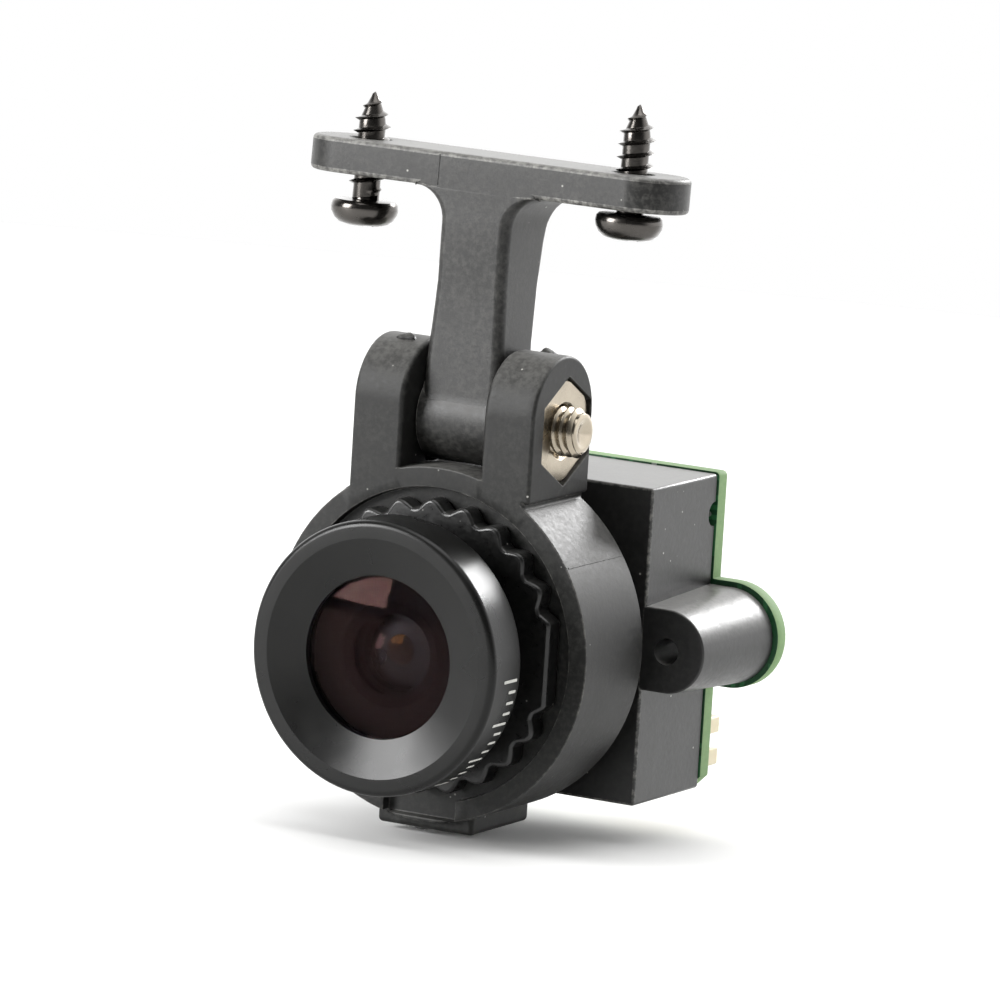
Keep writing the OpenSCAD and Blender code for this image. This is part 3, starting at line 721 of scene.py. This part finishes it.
def solder_mask(name):
    """Green epoxy mask over copper: glossy, with bundles of tracks 0.3 mm wide and small tinned
    vias showing through. The tracks run across the board in some areas and up it in others."""
    material, shader, place = surface(name, roughness=0.3, ior=1.55)
    links = material.node_tree.links

    def calculate(operation, *values):
        node = add_node(material, "ShaderNodeMath", dict(enumerate(values)), operation=operation)
        return node.outputs["Value"]

    flat = add_node(material, "ShaderNodeMapping", {
        "Vector": place, "Rotation": (-stored_tilt, 0, 0), "Scale": (1 / MM, 1 / MM, 1 / MM)})
    split = add_node(material, "ShaderNodeSeparateXYZ", {"Vector": flat.outputs["Vector"]})
    runs = []
    for along, across in (("X", "Z"), ("Z", "X")):
        lane = calculate("DIVIDE", split.outputs[across], 0.6)
        line = calculate("LESS_THAN", calculate("PINGPONG", calculate("ADD", lane, 40.0), 0.5), 0.24)
        number = calculate("MULTIPLY", calculate("ROUND", lane), 3.7)
        stretch = add_node(material, "ShaderNodeCombineXYZ", {
            "X": calculate("MULTIPLY", split.outputs[along], 0.3), "Y": number, "Z": 0.0})
        present = add_node(material, "ShaderNodeTexNoise", {
            "Vector": stretch.outputs["Vector"], "Scale": 1.0, "Detail": 0.0})
        runs.append(calculate("MULTIPLY", line, calculate("GREATER_THAN", present.outputs["Fac"], 0.52)))
    areas = add_node(material, "ShaderNodeTexNoise", {
        "Vector": flat.outputs["Vector"], "Scale": 0.22, "Detail": 0.0})
    upright = calculate("GREATER_THAN", areas.outputs["Fac"], 0.5)
    tracks = add_node(material, "ShaderNodeMix", {
        "Factor": upright, 2: runs[0], 3: runs[1]}, data_type="FLOAT")
    holes = add_node(material, "ShaderNodeTexVoronoi", {"Vector": flat.outputs["Vector"], "Scale": 0.55})
    chosen = calculate("GREATER_THAN", holes.outputs["Color"], 0.45)
    via = calculate("MULTIPLY", calculate("LESS_THAN", holes.outputs["Distance"], 0.1), chosen)
    tone = add_node(material, "ShaderNodeMix", {
        "Factor": tracks.outputs[0], 6: srgb("#1d4a2c"), 7: srgb("#2f6a40")}, data_type="RGBA")
    tone = add_node(material, "ShaderNodeMix", {
        "Factor": via, 6: tone.outputs[2], 7: srgb("#9aa39a")}, data_type="RGBA")
    links.new(tone.outputs[2], shader.inputs["Base Color"])
    bump = add_node(material, "ShaderNodeBump", {
        "Height": tracks.outputs[0], "Strength": 0.5, "Distance": 0.035 * MM})
    links.new(bump.outputs["Normal"], shader.inputs["Normal"])
    return material


mask = solder_mask("green_solder_mask")
sawn = mottled("sawn_fibreglass", "#84a070", "#6a8b5a", 0.25, roughness=0.75)
half_line = [(board_half - 0.78, -board_half), (board_half, 0.78 - board_half), (board_half, -board_ear_r)]
half_line += arc(lug_x, 0, board_ear_r, -90, 90, 28) + [(board_half, board_ear_r)]
half_line += arc(board_half - 0.3, board_half - 0.3, 0.3, 0, 90, 4)
board_line = half_line + [(-x, z) for x, z in reversed(half_line)]
board = pushed("board", [(x, z + lens_z) for x, z in board_line], "Y", box_back, board_back)
for side in (-1, 1):
    combine(board, rod(board_hole_r, "Y", 0, 20, (side * lug_x, lens_z), 48))
    combine(board, rod(1.0, "Y", 0, 20, (side * corner, lens_z + side * corner), 32))
soften(board, 0.04, 2)
finished(board, mask, sawn)
for face in board.data.polygons:
    face.material_index = 0 if abs(face.normal.y) > 0.7 else 1
fit(board, None, "camera", "circuit_board", "sensor_board")

solder = bright_plate("tinned_solder", "#c9ccce", 0.28, 0.6)
epoxy = mottled("moulded_epoxy", "#242527", "#17181a", 0.12, roughness=0.5)
gilt = bright_plate("gold_flash", "#d8b36a", 0.25, 0.3)


def leg(along, out, high, width):
    """A gull-wing lead, bent down from a chip's side to the board. It points along +X."""
    line = [
        (0, high), (out * 0.35, high), (out * 0.6, 0.1), (out, 0.1), (out, 0), (out * 0.52, 0),
        (out * 0.28, high - 0.1), (0, high - 0.1)]
    return pushed("lead", line, "Y", along - width / 2, along + width / 2)


# The processor: a flat epoxy package with leads on its four sides
chip_centre, chip_half, chip_t = (-2.0, lens_z + 1.0), 3.5, 0.9
chip_outline = rounded(-chip_half, -chip_half, chip_half, chip_half, 0.12, 2)
chip = pushed("processor_body", chip_outline, "Z", 0.12, chip_t)
soften(chip, 0.08, 2)
combine(chip, rod(0.32, "Z", chip_t - 0.06, chip_t + 1, (-2.6, 2.6), 24))
leads = []
for quarter in range(4):
    for i in range(12):
        lead = leg((i - 5.5) * 0.5, 0.75, 0.55, 0.22)
        leads.append(moved(lead, shifted(chip_half - 0.05, 0, 0), turned(quarter * 90, "Z")))
onto_board = turned(-90, "X"), shifted(chip_centre[0], board_back, chip_centre[1])
fit(moved(chip, *onto_board), epoxy, "camera", "chip_epoxy", "dsp_chip")
fit(moved(joined(leads, "processor_leads"), *onto_board), solder, "camera", "tinned_brass")

# The regulator: a small three-lead package
regulator = block((-7.6, board_back + 0.1, lens_z - 5.9), (-4.7, board_back + 1.1, lens_z - 4.4))
soften(regulator, 0.12, 2)
fit(regulator, epoxy, "camera", "chip_epoxy", "voltage_regulator")
leads = []
for x, side in ((-7.1, 1), (-5.2, 1), (-6.15, -1)):
    lead = leg(0, 0.5, 0.6, 0.4)
    spot = shifted(x, board_back, lens_z - 5.15 + side * 0.7)
    leads.append(moved(lead, turned(-side * 90, "Z"), turned(-90, "X"), spot))
fit(joined(leads, "regulator_leads"), solder, "camera", "tinned_brass")

# The crystal: a pressed can with a seam-welded lid
can_outline = rounded(3.2, lens_z + 0.9, 6.4, lens_z + 3.4, 0.45)
lid_outline = rounded(3.45, lens_z + 1.15, 6.15, lens_z + 3.15, 0.4)
crystal = pushed("crystal", can_outline, "Y", board_back, board_back + 0.8)
lid = pushed("lid", lid_outline, "Y", board_back + 0.7, board_back + 0.88)
soften(crystal, 0.12, 3)
soften(lid, 0.05, 2)
joined([crystal, lid], "crystal")
fit(crystal, warm_nickel, "camera", "nickel_plate", "crystal_can")


def chip_part(low, high, along):
    """A chip resistor or capacitor: a body between two tinned end caps."""
    length = high[along] - low[along]
    body_low, body_high = low.copy(), high.copy()
    body_low[along] += length * 0.2
    body_high[along] -= length * 0.2
    body_low.x += 0.02
    body_high.x -= 0.02
    body = soften(block(body_low, body_high), 0.03, 2)
    caps = []
    for start, end in ((0, 0.24), (0.76, 1)):
        cap_low, cap_high = low.copy(), high.copy()
        cap_low[along], cap_high[along] = low[along] + start * length, low[along] + end * length
        cap_high.y += 0.02
        caps.append(soften(block(cap_low, cap_high), 0.06, 2))
    return body, caps


# Each row is its count, its first part's low corner, the part's size, the step along X, and
# the way the parts lie: 0 across the board, 2 up it
chip_rows = (
    (5, (-5.6, lens_z + 7.05), (1.0, 0.45, 0.55), 1.7, 0),
    (4, (3.1, lens_z - 1.4), (0.55, 0.45, 1.0), 1.5, 2),
    (3, (-4.2, lens_z - 5.4), (1.25, 0.7, 0.8), 1.8, 0),
)
part_bodies, part_caps = [], []
for count, (x, z), size, step, along in chip_rows:
    for i in range(count):
        low = Vector((x + i * step, board_back, z))
        body, caps = chip_part(low, low + Vector(size), along)
        part_bodies.append(body)
        part_caps += caps
tan_ceramic = mottled("fired_capacitor_ceramic", "#a58a63", "#846a48", 0.15, roughness=0.5)
fit(joined(part_bodies, "chip_part_bodies"), tan_ceramic, "camera", "chip_parts", "board_components")
fit(joined(part_caps, "chip_part_caps"), solder, "camera", "tinned_brass")

# The two board screws
board_screws = []
for side in (-1, 1):
    x, z = side * corner, lens_z + side * corner
    screw = spun("board_screw", [
        (0, box_back - 3.9), (0.58, box_back - 3.9), (0.58, board_back), (1.4, board_back),
        (1.42, board_back + 0.25), (1.3, board_back + 0.55), (1.0, board_back + 0.75),
        (0.5, board_back + 0.82), (0, board_back + 0.82)], centre=(x, z), steps=48)
    for u, v in ((0.16, 0.8), (0.8, 0.16)):
        combine(screw, block((x - u, board_back + 0.4, z - v), (x + u, board_back + 2, z + v)))
    board_screws.append(soften(screw, 0.04, 2, 40))
fit(joined(board_screws, "board_fixing_screws"), warm_nickel, "camera", "nickel_plate", "board_screws")

# --------------------------------------------------------- signal connector
# A three-way wire-to-board header in natural nylon, open to the back, with square gilt pins.
# Its two side slots take the plug's latches.
shell_low, shell_high = (2.5, board_back, lens_z - 8.8), (8.5, board_back + 3.3, lens_z - 5.8)
nylon = mottled("natural_nylon", "#e6dcc0", "#d8cba9", 0.8, roughness=0.42, subsurface_weight=0.15)
nylon.node_tree.nodes["Principled BSDF"].inputs["Subsurface Scale"].default_value = 0.4 * MM
shell = block(shell_low, shell_high)
soften(shell, 0.15, 3)
combine(shell, block((3.0, board_back + 0.8, lens_z - 8.3), (8.0, board_back + 5, lens_z - 6.3)))
for x in (3.6, 6.5):
    combine(shell, block((x, board_back + 1.6, lens_z - 6.5), (x + 0.9, board_back + 5, lens_z - 5)))
combine(shell, block((2, board_back + 2.1, lens_z - 7.8), (9, board_back + 5, lens_z - 6.8)))
soften(shell, 0.05, 2)
fit(shell, nylon, "camera", "connector_nylon", "signal_connector")
pins = []
for i in (-1, 0, 1):
    x, z = 5.5 + i * 1.25, lens_z - 7.3
    outline = rounded(x - 0.2, z - 0.2, x + 0.2, z + 0.2, 0.04, 1)
    pin = pushed("pin", outline, "Y", board_back, board_back + 2.9)
    pins.append(soften(pin, 0.06, 2, 60))
fit(joined(pins, "header_pins"), gilt, "camera", "tinned_brass", "connector_pins")

# --------------------------------------------------------------- lock ring
# A black locking ring with a lobed grip and two flats, screwed on the lens thread against the
# yoke's lip. It is aluminium with a bright black anodised skin.
lock_front, lock_back = -4.9, -3.45
lobe_tip_r, lobe_height, lobes, flat_half = 8.75, 0.66, 24, 8.35

bright_anodised = satin_black("bright_black_anodised", "#0f0f0f", "#171716", 0.26, 0.1)

wave, steps = [], lobes * 12
for i in range(steps):
    angle = 2 * math.pi * i / steps
    radius = lobe_tip_r - lobe_height * (1 - (0.5 + 0.5 * math.cos(lobes * angle)) ** 0.75)
    flat = flat_half / max(abs(math.cos(angle)), 0.1)
    radius = flat if flat < lobe_tip_r else radius
    wave.append((radius * math.cos(angle), radius * math.sin(angle) + lens_z))
lock_ring = pushed("lobed_lock_ring", wave, "Y", lock_front, lock_back)
combine(lock_ring, rod(lens_bore_r, "Y", -8, 0, on_lens))
soften(lock_ring, 0.24, 5, 40)
fit(lock_ring, bright_anodised, "lock_ring", "anodised_aluminium", "lens_lock_ring")

# ------------------------------------------------------------- lens barrel
# The barrel is turned from aluminium and black anodised: a wide cup for the front glass and a
# fine M12 thread of half a millimetre pitch along the tube, which focuses the lens.
barrel_r, barrel_root_r, barrel_pitch, barrel_turns = 6.0, 5.72, 0.5, 24
tube_r, tube_start, tube_end, barrel_bore_r = barrel_root_r - 0.02, -7.2, 5.5, 2.93


def black_anodised(name, colour, rough):
    """Turned aluminium with black anodising: a satin sheen, a little uneven in tone."""
    material, shader, place = surface(name, ior=1.5, specular_ior_level=0.25)
    links = material.node_tree.links
    level = add_node(material, "ShaderNodeMapping", {
        "Vector": place, "Rotation": (-stored_tilt, 0, 0)}, vector_type="POINT")
    clouds = add_node(material, "ShaderNodeTexNoise", {
        "Vector": level.outputs["Vector"], "Scale": 1 / (3 * MM), "Detail": 3.0})
    fine = add_node(material, "ShaderNodeTexNoise", {"Vector": place, "Scale": 1 / (0.1 * MM)})
    tone = add_node(material, "ShaderNodeMix", {
        "Factor": clouds.outputs["Fac"], 6: srgb(colour), 7: srgb("#131312")}, data_type="RGBA")
    links.new(tone.outputs[2], shader.inputs["Base Color"])
    roughness = add_node(material, "ShaderNodeMapRange", {
        "Value": clouds.outputs["Fac"], "From Min": 0.3, "From Max": 0.7,
        "To Min": rough, "To Max": rough + 0.08})
    links.new(roughness.outputs["Result"], shader.inputs["Roughness"])
    bump = add_node(material, "ShaderNodeBump", {
        "Height": fine.outputs["Fac"], "Strength": 0.15, "Distance": 0.006 * MM})
    links.new(bump.outputs["Normal"], shader.inputs["Normal"])
    return material


anodised = black_anodised("black_anodised_aluminium", "#090909", 0.25)
barrel_thread = threaded("barrel_thread", [
    (barrel_root_r, 0), (barrel_r - 0.03, 0.2), (barrel_r, 0.23), (barrel_r, 0.27), (barrel_r - 0.03, 0.3),
    (barrel_root_r, barrel_pitch)], barrel_pitch, barrel_turns, 72)
# Filling the thread's ends lays a black anodised disc across the bore a little behind the front glass. It
# hides the second glass but for its tip, and all behind it: a dark sheet that paints the shade inside the
# lens.
shut(barrel_thread)
moved(barrel_thread, turned(-90, "X"), shifted(0, tube_start + 0.05, lens_z))
barrel = spun("barrel", [
    (5.2, -9.7), (6.2, -9.7), (6.2, tube_start), (tube_r, tube_start), (tube_r, tube_end),
    (barrel_bore_r, tube_end), (barrel_bore_r, -7.05), (5.03, -7.05), (5.03, -8.5), (5.2, -8.5)],
    centre=on_lens)
soften(barrel, 0.08, 2)
joined([barrel, barrel_thread], "threaded_barrel")
fit(barrel, anodised, "lens", "anodised_aluminium", "lens_barrel")


def baffle_black(name):
    """Matt black optical paint, which keeps stray light down."""
    return two_tone(name, "#0b0b0c", "#161617", 0.3, roughness=0.75, ior=1.45, specular_ior_level=0.06)[0]


baffle = baffle_black("baffle_paint")
for name in ("front_spacer", "mid_spacer", "aperture_stop"):
    dressed(name, baffle)
dressed("rear_retaining_ring", anodised)

# ------------------------------------------------------------ lens elements
# Four ground and polished glasses. Each has a thin coating that gives its reflection a colour:
# rose on the big front glass, amber on the second, and red on the cemented pair.


def polished_glass(name, reflection, ior):
    """Optical glass, smooth, with a coloured reflection from its coating. Its low index stands in for a
    coating that lets most of the light through to a dark inside, and its grey tint darkens all that is seen
    through it, a painted shade on the lens's inside."""
    # The grey tint is painted shade: it dims the lens's inside as seen through each glass
    return two_tone(
        name, "#cdccd0", "#bfbdc4", 1.5, roughness=0.0, ior=ior, transmission_weight=1.0,
        specular_tint=srgb(reflection))[0]


def sphere_line(radius, centre, start, end, steps, side=-1):
    """Points of a ground spherical face, by radius from the axis, from one radius to another."""
    places = [start + (end - start) * i / steps for i in range(steps + 1)]
    return [(r, centre + side * math.sqrt(radius * radius - r * r)) for r in places]


glasses = (
    ("front_glass", "front_element", "#eab0a6", 1.16,
        sphere_line(20, 9.65, 0, 4.65, 24) + [(4.65, -9.71), (5.12, -9.71), (5.12, -8.5)]
        + sphere_line(3.2, -6.3, 2.32, 0, 24)),
    ("second_glass", "second_element", "#f0a850", 1.27,
        sphere_line(4.6, -2.4, 0, 2.88, 20) + [(2.88, -5.55), (0, -5.55)]),
    ("doublet_glass", "doublet_element", "#d0404a", 1.25,
        sphere_line(5.25, 0, 0, 2.88, 16) + sphere_line(5.25, -7.75, 2.88, 0, 16, 1)),
    ("rear_glass", "rear_element", "#8fb0d0", 1.25,
        [(0, 1.97), (2.88, 1.97)] + sphere_line(6, -2.2, 2.88, 0, 16, 1)),
)
for name, node, reflection, ior, profile in glasses:
    glass = spun(name, profile, centre=on_lens)
    fit(glass, polished_glass("polished_" + name, reflection, ior), "lens_glass", "coated_glass", node)

# --------------------------------------------------------------- lens hood
# The front ring is turned from aluminium and black anodised. Its face is a shallow cone that ends
# at the glass, and white marks are printed on its side to set the focus by.
hood_r, hood_front, hood_back = 8.1, -10.8, -7.5
rim_r, glass_r, cone_back = 7.05, 4.8, -10.1

hood = spun("hood", [(rim_r, hood_front)] + arc(hood_r - 0.4, hood_front + 0.4, 0.4, -90, 0, 8) + [
    (hood_r, hood_back - 0.2), (8.04, hood_back - 0.06), (7.9, hood_back), (6.25, hood_back),
    (6.25, cone_back + 0.36), (glass_r, cone_back + 0.36), (glass_r, cone_back)], centre=on_lens, steps=160)
fit(hood, anodised, "lens", "anodised_aluminium", "lens_hood", smooth=14)

ink = mottled("white_marking_ink", "#d6d6d0", "#a9a9a4", 0.25, roughness=0.6)
marks = []
for i in range(13):
    length = 0.8 if i % 4 else 1.5
    outline = rounded(-0.09, -0.5 * length, 0.09, 0.5 * length, 0.06, 2)
    mark = pushed("mark", outline, "Z", hood_r - 0.05, hood_r + 0.012)
    back = shifted(0, hood_back - 0.45 - 0.5 * length, 0)
    marks.append(moved(mark, back, turned(93 + i * 4.8, "Y"), shifted(0, 0, lens_z)))
fit(joined(marks, "focus_marks"), ink, "lens", "anodised_aluminium")

# ------------------------------------------------------------ floor and light
# A plain pale floor, a surround that is bright behind the mount and dim in front of it, a tall
# window-like box at the front left, a broad box above, and a box behind that gives only shine.
floor_material = surface("pale_studio_floor", roughness=0.6, base_color=srgb("#ececeb"))[0]
bpy.ops.object.select_all(action="DESELECT")
floor_z = cad_low.z - 0.0003
bpy.ops.mesh.primitive_circle_add(vertices=64, radius=0.42, fill_type="NGON", location=(0, 0, floor_z))
floor = bpy.context.object
floor.name = "floor"
floor.data.materials.append(floor_material)


def box_light(name, azimuth, elevation, distance, width, height, power, lights_floor=True):
    """A soft oblong light that faces the mount. One that lights no floor shows only as a shine."""
    a, e = math.radians(azimuth), math.radians(elevation)
    way = Vector((math.sin(a) * math.cos(e), -math.cos(a) * math.cos(e), math.sin(e)))
    bpy.ops.object.light_add(type="AREA", location=view_target + way * distance)
    light = bpy.context.object
    light.name = name
    light.rotation_mode = "QUATERNION"
    light.rotation_quaternion = (-way).to_track_quat("-Z", "Y")
    light.data.shape, light.data.size, light.data.size_y = "RECTANGLE", width, height
    light.data.energy = power
    light.visible_camera = False
    light.visible_diffuse = lights_floor


box_light("window_box", -38, 17, 0.8, 0.34, 0.46, 10.0)
box_light("overhead_box", 30, 76, 0.7, 0.5, 0.5, 2.4)
box_light("back_box", 170, 30, 0.8, 0.36, 0.2, 7.0, lights_floor=False)

world = bpy.data.worlds.new("studio")
world.use_nodes = True
scene.world = world
background = world.node_tree.nodes["Background"]
heading = add_node(world, "ShaderNodeTexCoord").outputs["Generated"]
split = add_node(world, "ShaderNodeSeparateXYZ", {"Vector": heading})
lit = add_node(world, "ShaderNodeMapRange", {
    "Value": split.outputs["Y"], "From Min": -0.35, "From Max": 0.6, "To Min": 0.1, "To Max": 2.0},
    interpolation_type="SMOOTHSTEP")
ray = add_node(world, "ShaderNodeLightPath")
strength = add_node(world, "ShaderNodeMix", {
    "Factor": ray.outputs["Is Camera Ray"], 2: lit.outputs["Result"], 3: 1.0}, data_type="FLOAT")
world.node_tree.links.new(strength.outputs[0], background.inputs["Strength"])
background.inputs["Color"].default_value = srgb("#ffffff")
scene.view_settings.view_transform = "Standard"
